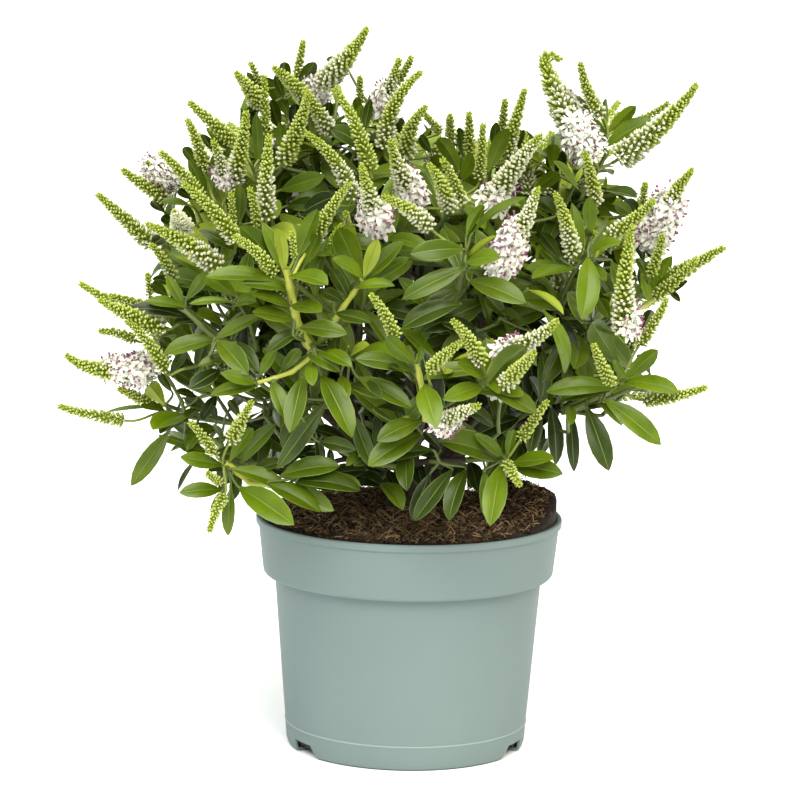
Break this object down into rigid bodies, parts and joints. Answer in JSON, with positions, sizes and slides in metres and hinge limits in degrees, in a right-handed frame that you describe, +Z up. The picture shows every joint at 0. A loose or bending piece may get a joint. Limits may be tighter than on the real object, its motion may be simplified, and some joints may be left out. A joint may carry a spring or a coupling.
{
  "type": "hebe shrub",
  "caption": "Rounded evergreen hebe in flower, bushy from its woody foot, in a round nursery pot with a wide collar, for a border, terrace or sill.",
  "frame": {"origin": "centre of the pot's flat underside", "axes": "+Z up along the pot's axis; -Y towards the side the shrub is looked at from; +X to that viewer's right"},
  "size_m": [0.3975, 0.3916, 0.4497],
  "materials": {
    "pot": "smooth moulded plastic, soft sheen",
    "compost": "damp fibrous compost",
    "bark": "fine ringed bark",
    "foliage": "leathery leaves with a soft sheen"
  },
  "bodies": {
    "root": {"pot": "pot", "soil": "compost", "woody_foot": "bark", "stem_crown_left": "bark", "foliage_crown_left": "foliage", "stem_crown_middle": "bark", "foliage_crown_middle": "foliage", "stem_crown_right": "bark", "foliage_crown_right": "foliage", "stem_left": "bark", "foliage_left": "foliage", "stem_front_left_low": "bark", "foliage_front_left_low": "foliage", "stem_front_middle": "bark", "foliage_front_middle": "foliage", "stem_right_high": "bark", "foliage_right_high": "foliage", "stem_back_right": "bark", "foliage_back_right": "foliage", "stem_back": "bark", "foliage_back": "foliage", "stem_back_left": "bark", "foliage_back_left": "foliage", "bough_upper_left": "bark", "foliage_upper_left": "foliage", "bough_crown_back": "bark", "foliage_crown_back": "foliage", "bough_front_left_high": "bark", "foliage_front_left_high": "foliage", "bough_crown_right_middle": "bark", "foliage_crown_right_middle": "foliage", "bough_front_right_high": "bark", "foliage_front_right_high": "foliage", "bough_left_high": "bark", "foliage_left_high": "foliage", "bough_left_low": "bark", "foliage_left_low": "foliage", "bough_front_left": "bark", "foliage_front_left": "foliage", "bough_front_low": "bark", "foliage_front_low": "foliage", "bough_front_right_low": "bark", "foliage_front_right_low": "foliage", "bough_right": "bark", "foliage_right": "foliage", "bough_right_high_front": "bark", "foliage_right_high_front": "foliage", "bough_right_low": "bark", "foliage_right_low": "foliage", "bough_back_right_high": "bark", "foliage_back_right_high": "foliage", "bough_back_right_low": "bark", "foliage_back_right_low": "foliage", "bough_back_left_high": "bark", "foliage_back_left_high": "foliage", "bough_back_left_low": "bark", "foliage_back_left_low": "foliage", "bough_left_back_low": "bark", "foliage_left_back_low": "foliage"}
  },
  "joints": []
}
